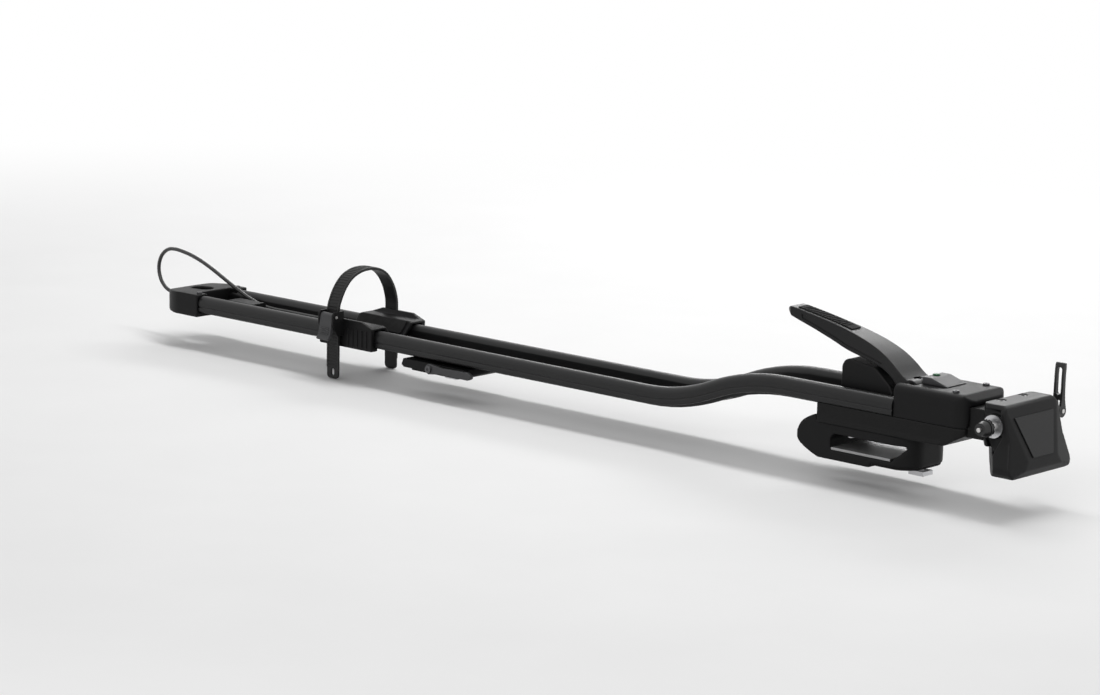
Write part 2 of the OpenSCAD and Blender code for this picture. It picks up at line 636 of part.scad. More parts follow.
module skewer_nut() {
    color(black_metal) difference() {
        union() {
            rod_y(axle_x, axle_z, 9.5, -nut_y - 5, -nut_y);
            translate([axle_x, -nut_y - 5, axle_z]) rotate([90, 0, 0]) cylinder(r1 = 8.5, r2 = 7, h = nut_l - 5);
        }
        rod_y(axle_x, axle_z, skewer_r + run_c, -nut_y - 30, -nut_y + 5);
        for (a = [0 : 45 : 315]) translate([axle_x, -nut_y, axle_z]) rotate([0, a, 0])
            translate([-1.2, -3.5, 8.6]) cube([2.4, 5, 3]);
    }
}
module qr_cap() {
    color(black_metal) difference() {
        rod_y(axle_x, axle_z, 10, nut_y, nut_y + cap_t);
        rod_y(axle_x, axle_z, skewer_r + slip_c, nut_y - 1, nut_y + cap_t + 1);
    }
}
module qr_pin() {
    color(steel) rod_x(qr_y, axle_z, skewer_r, axle_x - qr_half - 0.8, axle_x + qr_half + 0.8);
}
module qr_lever() {
    color(black_metal) difference() {
        union() {
            rod_x(qr_y - qr_throw, axle_z, qr_r, axle_x - qr_half, axle_x + qr_half);
            translate([0, qr_y, axle_z]) along_x(axle_x - qr_half, axle_x + qr_half)
                polygon([[5, 4], [3.2, 12], [2.4, 24], [2.6, 40], [3.4, qr_len - 3], [3, qr_len], [0.4, qr_len],
                [-1, qr_len - 2], [-2, 40], [-2.4, 24], [-3.2, 12], [-5, 4]]);
        }
        rod_x(qr_y, axle_z, skewer_r + run_c, axle_x - 20, axle_x + 20);
        translate([0, qr_y, axle_z]) along_x(axle_x - qr_cheek, axle_x + qr_cheek)
            rrect(-14, -14, 14, 12, 2);
        along_y(qr_y - 10, qr_y + 10) translate([axle_x, axle_z]) rrect(-qr_cheek, 18, qr_cheek, qr_len - 5, 2.8);
    }
}

// Wheel cradle that hooks over the beads of the tray
cradle_right = [[9, floor_z + 0.5], [tray_in - 1.5, bead_top - 4.5],
    [tray_in - 0.5, bead_top + slip_c], [cradle_in, bead_top + slip_c], [cradle_in, tray_z - slip_c],
    [cradle_in - 6, tray_z - slip_c], [cradle_in - 6, tray_z - 4.7], [cradle_y, tray_z - 4.7],
    [cradle_y, bead_top + wing_h], [cradle_y - 4, bead_top + wing_h], [cradle_y - 7, bead_top + 4.5],
    [tray_in - 2, bead_top + 4.5], [9, floor_z + 4]];
module cradle_section() {
    polygon(concat(cradle_right, flip(cradle_right)));
}
module wheel_cradle() {
    mid = (cradle_x0 + cradle_x1) / 2;
    color(black_plastic) difference() {
        intersection() {
            along_x(cradle_x0, cradle_x1) cradle_section();
            along_y(-cradle_y - 1, cradle_y + 1) polygon([[cradle_x0, 0], [cradle_x1, 0],
                [cradle_x1, bead_top + 3], [mid + 24, bead_top + wing_h + 1], [mid - 24, bead_top + wing_h + 1],
                [cradle_x0, bead_top + 3]]);
        }
        for (x = [cradle_x0 + 12, cradle_x1 - 12]) rod_z(x, 0, 3, 0, 60);
    }
}
pad_slope = (bead_top + 0.5 - floor_z) / (tray_in - 11);
function on_slope(y) = [y, floor_z + 4 + (y - 9) * pad_slope];
module cradle_pads() {
    lift = 2 * [-pad_slope, 1] / norm([pad_slope, 1]);
    color(rubber) both_sides() along_x(cradle_x0 + 6, cradle_x1 - 6)
        polygon([on_slope(10), on_slope(tray_in - 3), on_slope(tray_in - 3) + lift, on_slope(10) + lift]);
}
module wheel_strap() {
    near_teeth = [for (z = [-10 : 4 : 26]) z];
    color(black_plastic) difference() {
        along_x(-strap_back - strap_w / 2, -strap_back + strap_w / 2) {
            polygon(concat(aside(strap_line, -strap_t / 2), back(aside(strap_line, strap_t / 2))));
            for (z = near_teeth) translate([-near_y - strap_t / 2 - 0.8, z]) square([1, 1.8]);
            for (i = [4 : 2 : 20]) translate(strap_line[i]) rotate(atan2(heading(strap_line, i)[1],
                heading(strap_line, i)[0])) translate([-0.9, strap_t / 2 - 0.2]) square([1.8, 1]);
        }
        rod_y(-strap_back, -19, 4, -near_y - 5, -near_y + 5);
    }
}
module strap_anchor_pin() {
    color(steel) {
        rod_x(anchor_y, anchor_z, anchor_r, -strap_back - cheek_in - cheek_t, -strap_back + cheek_in + cheek_t);
        for (s = [-1, 1]) difference() {
            x = -strap_back + s * (cheek_in + cheek_t / 2);
            box(x - cheek_t / 2, x + cheek_t / 2, cradle_y, anchor_y + 4, anchor_z - 5, anchor_z + 5);
            rod_x(anchor_y, anchor_z, anchor_r - 0.4, x - 5, x + 5);
        }
    }
}
module buckle_base() {
    color(grey_plastic) difference() {
        union() {
            box(-strap_back - cheek_in - cheek_t, -strap_back + cheek_in + cheek_t, -cradle_y - back_t, -cradle_y,
                bead_top - 11, bead_top + 20);
            for (s = [-1, 1]) along_x(-strap_back + s * (cheek_in + cheek_t / 2) - cheek_t / 2,
                -strap_back + s * (cheek_in + cheek_t / 2) + cheek_t / 2)
                polygon([[-cradle_y - 1, bead_top - 11], [-cradle_y - 1, bead_top + 20], [-buckle_y - 3, bead_top + 20],
                [-buckle_y - 6, bead_top + 16], [-buckle_y - 6, bead_top + 4], [-buckle_y + 2, bead_top - 11]]);
        }
        rod_x(-buckle_y, buckle_z, buckle_pin_r, -strap_back - 30, -strap_back + 30);
    }
}
module buckle_pin() {
    color(steel) rod_x(-buckle_y, buckle_z, buckle_pin_r, -strap_back - cheek_in - cheek_t - 0.8,
        -strap_back + cheek_in + cheek_t + 0.8);
}
module buckle_lever() {
    half = cheek_in - slip_c;
    color(grey_plastic) difference() {
        translate([0, -buckle_y, buckle_z]) along_x(-strap_back - half, -strap_back + half) {
            circle(r = buckle_r);
            polygon([[-5, 0], [-6.5, -12], [-9, -22], [-12.5, -27], [-9.5, -29], [-5, -24], [-2.2, -14], [0, -5]]);
        }
        rod_x(-buckle_y, buckle_z, buckle_pin_r + run_c, -strap_back - 30, -strap_back + 30);
    }
}
module drive_pawl() {
    color(steel) translate([0, -buckle_y, buckle_z]) along_x(-strap_back - 7, -strap_back + 7)
        polygon([[0.2, -5.2], [2.6, -4.7], [5.2, -9], [4.4, -11], [1.2, -9], [-1.7, -12], [-1.1, -9.5]]);
}

// Rear foot that slides in the rails under the tray
module rear_foot_saddle() {
    color(black_plastic) difference() {
        union() {
            along_y(-saddle_w / 2, saddle_w / 2) translate([-bar_gap, 0])
                polygon([[-saddle_len / 2, pad_t + 3], [-saddle_len / 2 + 4, pad_t], [saddle_len / 2 - 4, pad_t],
                [saddle_len / 2, pad_t + 3], [saddle_len / 2 - 3, saddle_top], [-saddle_len / 2 + 3, saddle_top]]);
            box(-bar_gap - saddle_len / 2 + 10, -bar_gap + saddle_len / 2 - 10, -lip_in + slip_c, lip_in - slip_c,
                saddle_top - 1, floor_z - tray_wall - slip_c);
            box(-bar_gap - saddle_len / 2 + 10, -bar_gap + saddle_len / 2 - 10, -tray_in + slip_c, tray_in - slip_c,
                tray_z - rail_down + rail_t + slip_c, floor_z - tray_wall - slip_c);
        }
        box(-bar_gap - 11, -bar_gap + 11, -cam_half - 1, cam_half + 1, -1, floor_z - tray_wall - slip_c - 1.4);
        rod_y(shaft_x, shaft_z, shaft_r + run_c, -saddle_w, saddle_w / 2 - 4);
    }
}
module rear_bar_pad() {
    color(rubber) difference() {
        along_x(-bar_gap - 40, -bar_gap + 40) rrect(-saddle_w / 2 + 3, 0, saddle_w / 2 - 3, pad_t, 0.8);
        rod_z(-bar_gap, 0, 12.5, -1, pad_t + 1);
    }
}
module rear_t_bolt() {
    color(steel) translate([-bar_gap, 0, 0]) t_bolt(cam_z, rear_eye_r, shaft_r + rear_eye_c, rear_eye_half);
}
module rear_cam_shaft() {
    color(steel) {
        rod_y(shaft_x, shaft_z, shaft_r, cam_half, saddle_w / 2 - 4.4);
        rod_y(shaft_x, shaft_z, shaft_r, -rear_lever_y - rear_lever_t, -cam_half);
        rod_y(cam_x, cam_z, shaft_r, -cam_half - eps, cam_half + eps);
    }
}
module rear_clamp_lever() {
    color(grey_plastic) difference() {
        along_y(-rear_lever_y - rear_lever_t, -rear_lever_y) translate([shaft_x, shaft_z]) {
            circle(r = 6.5);
            polygon([[-1, -6.4], [20, -4], [rear_lever_len - 5, -4.5], [rear_lever_len, -2], [rear_lever_len, 2],
                [rear_lever_len - 6, 5], [20, 4], [-1, 6.4]]);
        }
        rod_y(shaft_x, shaft_z, shaft_r, -rear_lever_y - 20, 0);
    }
}
module rear_lever_screw() {
    color(steel) translate([shaft_x, -rear_lever_y - rear_lever_t, shaft_z]) rotate([90, 0, 0])
        screw_head(4.6, 2.4, 1.8);
}

wheel_tray();
rear_end_cap();
end_cap_screws();
cable_gland();
lock_cable();
cable_lock_body();
cable_lock_core();
front_foot_body();
front_foot_cover();
cover_screws();
lever_rest();
foot_frame();
frame_bolts();
foot_track_plate();
front_bar_pad();
clamp_lever();
lever_grip();
lever_pivot_pins();
front_t_bolt();
lock_housing();
release_button();
fork_head();
head_plate();
head_bolts();
axle_tube();
dropout_washers();
skewer_rod();
skewer_nut();
qr_cap();
qr_pin();
qr_lever();
wheel_cradle();
cradle_pads();
wheel_strap();
strap_anchor_pin();
buckle_base();
buckle_lever();
buckle_pin();
drive_pawl();
rear_foot_saddle();
rear_bar_pad();
rear_t_bolt();
rear_cam_shaft();
rear_clamp_lever();
rear_lever_screw();
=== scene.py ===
import math

import bpy
from mathutils import Matrix, Vector


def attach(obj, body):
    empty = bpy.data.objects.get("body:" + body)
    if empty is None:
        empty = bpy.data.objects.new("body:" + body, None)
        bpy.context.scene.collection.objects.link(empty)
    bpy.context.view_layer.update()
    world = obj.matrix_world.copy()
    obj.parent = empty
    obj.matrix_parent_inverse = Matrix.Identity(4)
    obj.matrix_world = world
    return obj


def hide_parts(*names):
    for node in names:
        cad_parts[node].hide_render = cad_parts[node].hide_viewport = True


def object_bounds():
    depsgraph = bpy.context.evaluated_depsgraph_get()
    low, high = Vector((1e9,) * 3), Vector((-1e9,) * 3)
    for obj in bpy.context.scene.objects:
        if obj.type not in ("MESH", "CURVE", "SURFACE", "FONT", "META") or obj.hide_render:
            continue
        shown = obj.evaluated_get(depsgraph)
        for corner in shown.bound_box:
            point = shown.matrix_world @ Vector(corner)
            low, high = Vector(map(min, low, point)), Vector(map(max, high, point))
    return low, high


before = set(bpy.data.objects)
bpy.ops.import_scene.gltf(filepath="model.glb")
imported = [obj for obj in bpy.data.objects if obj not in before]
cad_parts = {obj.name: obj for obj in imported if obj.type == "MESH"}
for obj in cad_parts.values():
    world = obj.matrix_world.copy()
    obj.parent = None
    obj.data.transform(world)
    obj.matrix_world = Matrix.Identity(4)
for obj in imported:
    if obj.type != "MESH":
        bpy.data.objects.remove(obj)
cad_low, cad_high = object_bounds()
MM = 0.001
WELD, JOIN, FLAT = 0.00002, 0.00005, math.radians(0.7)
CUT_ROUND, CUT_LIMIT = 0.45, 50


# Finishes: a socket that takes part in sums, and a finish that holds the nodes of one material
class Wire:
    def __init__(self, finish, socket):
        self.finish, self.socket = finish, socket

    def maths(self, operation, other, swap=False):
        pair = (other, self) if swap else (self, other)
        return self.finish.node("ShaderNodeMath", {"operation": operation}, {0: pair[0], 1: pair[1]})

    def __add__(self, other):
        return self.maths("ADD", other)

    def __radd__(self, other):
        return self.maths("ADD", other, True)

    def __sub__(self, other):
        return self.maths("SUBTRACT", other)

    def __rsub__(self, other):
        return self.maths("SUBTRACT", other, True)

    def __mul__(self, other):
        return self.maths("MULTIPLY", other)

    def __rmul__(self, other):
        return self.maths("MULTIPLY", other, True)


class Finish:
    def __init__(self, name, **fixed):
        self.material = bpy.data.materials.new(name)
        self.material.use_nodes = True
        self.tree = self.material.node_tree
        self.shader = self.tree.nodes["Principled BSDF"]
        for socket, value in fixed.items():
            self.shader.inputs[socket.replace("_", " ")].default_value = value

    def join(self, socket, value):
        if isinstance(value, Wire):
            self.tree.links.new(value.socket, socket)
        else:
            socket.default_value = value

    def node(self, kind, settings=None, sockets=None, out=0):
        made = self.tree.nodes.new(kind)
        for key, value in (settings or {}).items():
            if key == "stops":
                stops = made.color_ramp.elements
                while len(stops) < len(value):
                    stops.new(0.5)
                for stop, (place, shade) in zip(stops, value):
                    stop.position, stop.color = place, shade
            else:
                setattr(made, key, value)
        for key, value in (sockets or {}).items():
            self.join(made.inputs[key], value)
        return Wire(self, made.outputs[out])

    def place(self, scale=(1, 1, 1), turn=(0, 0, 0)):
        here = self.node("ShaderNodeTexCoord", out="Object")
        return self.node("ShaderNodeMapping", None, {"Vector": here, "Scale": scale, "Rotation": turn})

    def noise(self, where, scale, detail=2.0, rough=0.5):
        return self.node("ShaderNodeTexNoise", None,
                         {"Vector": where, "Scale": scale, "Detail": detail, "Roughness": rough})

    def cells(self, where, scale):
        return self.node("ShaderNodeTexVoronoi", None, {"Vector": where, "Scale": scale})

    def fade(self, value, low, high, to_low=0.0, to_high=1.0):
        return self.node("ShaderNodeMapRange", {"interpolation_type": "SMOOTHSTEP"},
                         {"Value": value, "From Min": low, "From Max": high,
                          "To Min": to_low, "To Max": to_high})

    def blend(self, share, first, second):
        return self.node("ShaderNodeMix", {"data_type": "RGBA"}, {0: share, 6: first, 7: second}, out=2)

    def edges(self, radius):
        soft = self.node("ShaderNodeBevel", {"samples": 6}, {"Radius": radius})
        true = self.node("ShaderNodeNewGeometry", out="Normal")
        turn = self.node("ShaderNodeVectorMath", {"operation": "DOT_PRODUCT"}, {0: soft, 1: true},
                         out="Value")
        return self.fade(turn, 0.985, 0.90)

    def colour(self, value):
        self.join(self.shader.inputs["Base Color"], value)

    def rough(self, value):
        self.join(self.shader.inputs["Roughness"], value)

    def relief(self, height, depth, strength=1.0):
        bump = self.node("ShaderNodeBump", None, {"Strength": strength, "Distance": depth, "Height": height})
        self.join(self.shader.inputs["Normal"], bump)


def rgb(value, tint=(1.0, 1.0, 1.0)):
    return (value * tint[0], value * tint[1], value * tint[2], 1.0)


def moulded(name, shade, tint, rough, grain, depth, gloss=0.15):
    """Moulded plastic: spark eroded grain, cloudy sheen, fine scuffs and edges rubbed a little brighter."""
    f = Finish(name, Specular_IOR_Level=gloss)
    here = f.place()
    cloud = f.noise(here, 38.0, 3.0, 0.6)
    pits = f.noise(here, grain, 2.0, 0.65)
    scuff = f.fade(f.noise(f.place((60.0, 420.0, 420.0), (0.2, 0.4, 0.9)), 1.0, 4.0, 0.7), 0.60, 0.78)
    rub = f.edges(0.0012) * f.fade(f.noise(here, 210.0, 3.0), 0.38, 0.75)
    body = f.blend(cloud, rgb(shade * 0.75, tint), rgb(shade * 1.25, tint))
    worn = f.blend(scuff * 0.22, body, rgb(shade * 2.2 + 0.006, tint))
    f.colour(f.blend(rub * 0.5, worn, rgb(shade * 2.6 + 0.010, tint)))
    f.rough(rough - 0.07 + cloud * 0.10 + pits * 0.06 - rub * 0.12 + scuff * 0.08)
    f.relief(pits, depth, 0.55)
    return f.material


def coated_tray():
    """Powder coat over an extrusion: long die lines under a fine satin orange peel."""
    f = Finish("satin_coat", Specular_IOR_Level=0.32)
    here = f.place()
    lines = f.noise(f.place((3.0, 900.0, 900.0)), 1.0, 3.0, 0.6)
    peel = f.noise(here, 1500.0, 2.0, 0.5)
    cloud = f.noise(here, 14.0, 3.0, 0.6)
    rub = f.edges(0.0012) * f.fade(f.noise(f.place((30.0, 200.0, 200.0)), 1.0, 3.0), 0.45, 0.72)
    body = f.blend(cloud, rgb(0.004, (1, 1, 1.06)), rgb(0.008, (1, 1, 1.05)))
    f.colour(f.blend(rub * 0.45, body, rgb(0.05)))
    f.rough(0.27 + cloud * 0.10 + lines * 0.08 - rub * 0.05)
    f.relief(lines * 0.55 + peel * 0.45, 0.00016, 0.6)
    return f.material


def cast_coat():
    """Coated casting with the soft pebble of the mould showing through."""
    f = Finish("cast_coat", Specular_IOR_Level=0.16)
    here = f.place()
    pebble = f.cells(here, 620.0)
    fine = f.noise(here, 1400.0, 2.0)
    cloud = f.noise(here, 26.0, 3.0, 0.6)
    rub = f.edges(0.0014) * f.fade(f.noise(here, 180.0, 3.0), 0.4, 0.75)
    body = f.blend(cloud, rgb(0.0035), rgb(0.007))
    f.colour(f.blend(rub * 0.5, body, rgb(0.035)))
    f.rough(0.44 + cloud * 0.12 - rub * 0.1)
    f.relief(pebble * 0.6 + fine * 0.4, 0.00022, 0.5)
    return f.material


def rubber(name, shade, grain):
    """Soft rubber with a dusty bloom in its pores."""
    f = Finish(name, Specular_IOR_Level=0.16)
    here = f.place()
    pores = f.noise(here, grain, 3.0, 0.7)
    bloom = f.noise(here, 45.0, 4.0, 0.65)
    f.colour(f.blend(f.fade(bloom, 0.35, 0.75), rgb(shade * 0.8), rgb(shade * 1.7 + 0.004)))
    f.rough(0.70 + bloom * 0.16 + pores * 0.05)
    f.relief(pores, 0.00018, 0.6)
    return f.material


def strap_skin():
    """Flexible strap moulding: smooth, a little waxy, with flow lines along its length."""
    f = Finish("strap_skin", Specular_IOR_Level=0.30)
    here = f.place()
    flow = f.noise(f.place((420.0, 60.0, 60.0)), 1.0, 3.0, 0.55)
    fine = f.noise(here, 1300.0, 2.0)
    wax = f.noise(here, 70.0, 3.0, 0.6)
    f.colour(f.blend(wax, rgb(0.007), rgb(0.013)))
    f.rough(0.36 + wax * 0.14 + flow * 0.06)
    f.relief(flow * 0.5 + fine * 0.5, 0.00012, 0.5)
    return f.material


def sheath():
    """Clear dark sheath with the lay of the steel strands just showing."""
    f = Finish("cable_sheath", Specular_IOR_Level=0.4, Coat_Weight=0.3, Coat_Roughness=0.12)
    here = f.place()
    strands = f.node("ShaderNodeTexWave", {"wave_type": "BANDS", "bands_direction": "DIAGONAL"},
                     {"Vector": here, "Scale": 190.0, "Distortion": 0.6, "Detail": 1.0})
    scuff = f.noise(here, 120.0, 3.0, 0.6)
    f.colour(f.blend(strands, rgb(0.007), rgb(0.022)))
    f.rough(0.22 + scuff * 0.16)
    f.relief(strands * 0.7 + scuff * 0.3, 0.00012, 0.4)
    return f.material


def plated(name, shade, tint, rough, brush):
    """Bright metal with fine tool marks drawn along the brush scale and dull patches."""
    f = Finish(name, Metallic=1.0)
    marks = f.noise(f.place(brush), 1.0, 4.0, 0.65)
    patch = f.noise(f.place(), 120.0, 3.0, 0.6)
    f.colour(f.blend(patch, rgb(shade * 0.82, tint), rgb(shade * 1.08, tint)))
    f.rough(rough + patch * 0.12 + marks * 0.12)
    f.relief(marks, 0.00008, 0.5)
    return f.material


satin_coat = coated_tray()
cast_skin = cast_coat()
black_moulding = moulded("black_moulding", 0.005, (1, 1, 1.05), 0.46, 1050.0, 0.00016)
head_moulding = moulded("head_moulding", 0.005, (1, 1, 1.05), 0.40, 1250.0, 0.00012, 0.18)
lever_moulding = moulded("lever_moulding", 0.006, (1, 1, 1.05), 0.36, 1350.0, 0.00010, 0.24)
grey_moulding = moulded("grey_moulding", 0.045, (1, 1.0, 1.04), 0.44, 1150.0, 0.00012, 0.3)
button_moulding = moulded("button_moulding", 0.06, (0.22, 1.6, 0.62), 0.34, 1500.0, 0.00006, 0.4)
pad_rubber = rubber("pad_rubber", 0.009, 900.0)
grip_rubber = rubber("grip_rubber", 0.011, 1500.0)
strap_finish = strap_skin()
cable_finish = sheath()
black_steel = moulded("black_steel", 0.009, (1, 1, 1.03), 0.30, 1500.0, 0.00006, 0.42)
zinc = plated("zinc_plate", 0.60, (1.0, 1.0, 1.02), 0.24, (300.0, 300.0, 300.0))
dull_zinc = plated("dull_zinc", 0.11, (1.0, 1.0, 1.03), 0.36, (300.0, 300.0, 300.0))
turned = plated("turned_steel", 0.62, (1.0, 0.99, 0.97), 0.20, (40.0, 1500.0, 40.0))
brushed = plated("brushed_aluminium", 0.34, (1.0, 1.0, 1.01), 0.42, (12.0, 1400.0, 1400.0))


# Working in Blender's edit mode on one piece at a time
def alone(piece):
    bpy.ops.object.select_all(action="DESELECT")
    piece.select_set(True)
    bpy.context.view_layer.objects.active = piece


def settle(piece, name, body, finish, angle=32):
    """Names a finished piece, smooths it, and hangs it on its body."""
    alone(piece)
    bpy.ops.object.transform_apply(location=True, rotation=True, scale=True)
    bpy.ops.object.shade_smooth_by_angle(angle=math.radians(angle))
    apply(piece, "WEIGHTED_NORMAL", "true flats", keep_sharp=True)
    piece.name = piece.data.name = name
    piece.data.materials.clear()
    piece.data.materials.append(finish)
    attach(piece, body)


def apply(piece, kind, name, **settings):
    alone(piece)
    step = piece.modifiers.new(name, kind)
    for key, value in settings.items():
        setattr(step, key, value)
    bpy.ops.object.modifier_apply(modifier=step.name)


def merged(node):
    """A merged copy of a CAD node with its flat faces whole again."""
    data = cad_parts[node].data.copy()
    piece = bpy.data.objects.new(node + "_work", data)
    bpy.context.collection.objects.link(piece)
    alone(piece)
    bpy.ops.mesh.customdata_custom_splitnormals_clear()
    bpy.ops.object.mode_set(mode="EDIT")
    bpy.ops.mesh.select_all(action="SELECT")
    bpy.ops.mesh.remove_doubles(threshold=WELD)
    bpy.ops.mesh.dissolve_limited(angle_limit=FLAT)
    bpy.ops.object.mode_set(mode="OBJECT")
    return piece


def pick(piece, wanted):
    """Enters edit mode with the wanted faces of a piece selected."""
    alone(piece)
    bpy.context.tool_settings.mesh_select_mode = (False, False, True)
    mesh = piece.data
    for parts in (mesh.vertices, mesh.edges, mesh.polygons):
        parts.foreach_set("select", [False] * len(parts))
    for face in mesh.polygons:
        face.select = bool(wanted(face))
    bpy.ops.object.mode_set(mode="EDIT")


def cutter(outline, along, low, high, corner=0.0):
    """A closed bar from an outline in millimetres: X and Z drawn along Y, or X and Y drawn along Z."""
    bpy.ops.object.select_all(action="DESELECT")
    bpy.ops.mesh.primitive_circle_add(vertices=len(outline), fill_type="NGON")
    bar = bpy.context.object
    for vertex, (a, b) in zip(bar.data.vertices, outline):
        vertex.co = Vector((a, low, b) if along == "Y" else (a, b, low)) * MM
    pick(bar, lambda face: True)
    step = Vector((0, high - low, 0) if along == "Y" else (0, 0, high - low)) * MM
    bpy.ops.mesh.extrude_region_move(TRANSFORM_OT_translate={"value": step})
    bpy.ops.mesh.select_all(action="SELECT")
    bpy.ops.mesh.normals_make_consistent(inside=False)
    bpy.ops.object.mode_set(mode="OBJECT")
    if corner:
        apply(bar, "BEVEL", "corners", width=corner * MM, segments=4, limit_method="ANGLE",
              angle_limit=math.radians(60), affect="EDGES")
    return bar


def cut(piece, bar):
    apply(piece, "BOOLEAN", "cut", object=bar, operation="DIFFERENCE", solver="EXACT")
    bpy.data.objects.remove(bar)


def rounded(piece, width, segments, limit):
    apply(piece, "BEVEL", "round", width=width * MM, segments=segments, limit_method="ANGLE",
          angle_limit=math.radians(limit), use_clamp_overlap=True)


def dressed(node, body, finish, slot, round_mm, segments, limit=38, cuts=None):
    """A CAD node with the rounded edges of the real piece and the recesses that its moulding has."""
    piece = merged(node)
    rounded(piece, round_mm, segments, limit)
    if cuts:
        for bar in cuts():
            cut(piece, bar)
        rounded(piece, CUT_ROUND, 2, CUT_LIMIT)
    settle(piece, node + "_dressed", body, finish)
    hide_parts(node)


def between(upper, lower, rim):
    """Outline inside two long lines of a side view, a rim away from both."""
    def moved(line, shift):
        shifted = []
        for i, here in enumerate(line):
            before, after = line[max(i - 1, 0)], line[min(i + 1, len(line) - 1)]
            way = (Vector(after) - Vector(before)).normalized()
            shifted.append((here[0] - way.y * shift, here[1] + way.x * shift))
        return shifted
    return moved(upper, rim) + moved(lower, rim)


def lever_cuts():
    """Shallow pockets down both flanks of the clamp lever, level with its tapered sides."""
    pivot = Vector((-3.638, 88.0))
    upper = [(-34, 30.8), (-46, 37.4), (-58.4, 42.5), (-80.4, 49.5), (-104.4, 55.5), (-136.4, 62),
             (-160, 66.1)]
    lower = [(-160, 52.7), (-141.9, 47.1), (-118.4, 39.2), (-96.4, 31.4), (-76.4, 26.5), (-54.4, 21.5),
             (-42, 17.9)]
    rim, pocket = 4.2, 1.1
    upper, lower = ([tuple(Vector(p) + pivot) for p in line] for line in (upper, lower))
    flank = cutter(between(upper, lower, rim), "Y", -30, 30, 2.0)
    plan = [(12, 20.5), (-20, 20.5), (-60, 17), (-110, 13.5), (-176, 12.5)]
    plan = [(x + pivot.x, y - pocket) for x, y in plan]
    cut(flank, cutter(plan + [(x, -y) for x, y in reversed(plan)], "Z", 60, 180))
    return [flank]


def softened(node, body, finish, slot, voxel, rounds):
    """A CAD node as one soft moulding: fine voxels, with its edges eased over by smoothing."""
    piece = merged(node)
    apply(piece, "REMESH", "skin", mode="VOXEL", voxel_size=voxel * MM)
    apply(piece, "SMOOTH", "eased", factor=0.5, iterations=rounds)
    settle(piece, node + "_dressed", body, finish, 60)
    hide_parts(node)


def block(name, size, round_mm, segments):
    """A rounded bar at the origin, from a cube shaped in edit mode, its base left square."""
    bpy.ops.object.select_all(action="DESELECT")
    bpy.ops.mesh.primitive_cube_add(size=1)
    piece = bpy.context.object
    piece.name = name
    bpy.ops.object.mode_set(mode="EDIT")
    bpy.ops.transform.resize(value=[edge * MM for edge in size])
    bpy.ops.object.mode_set(mode="OBJECT")
    pick(piece, lambda face: face.normal.z > 0.9)
    bpy.ops.mesh.bevel(offset=round_mm * MM, segments=segments, affect="EDGES")
    bpy.ops.object.mode_set(mode="OBJECT")
    return piece


def copies(pattern, places, name, body, finish):
    """Copies of one pattern piece, each set by its matrix, joined to one piece on a body."""
    made = []
    for place in places:
        one = pattern.copy()
        one.data = pattern.data.copy()
        bpy.context.collection.objects.link(one)
        one.matrix_world = place
        made.append(one)
    bpy.data.objects.remove(pattern)
    bpy.ops.object.select_all(action="DESELECT")
    for one in made:
        one.select_set(True)
    bpy.context.view_layer.objects.active = made[0]
    if len(made) > 1:
        bpy.ops.object.join()
    settle(bpy.context.object, name, body, finish)


def facing(place, along, up):
    """Matrix that sets a bar's length along one direction and its top towards another."""
    x = Vector(along).normalized()
    z = (Vector(up) - x * x.dot(Vector(up))).normalized()
    y = z.cross(x)
    turn = Matrix((x, y, z)).transposed().to_4x4()
    return Matrix.Translation(Vector(place) * MM) @ turn


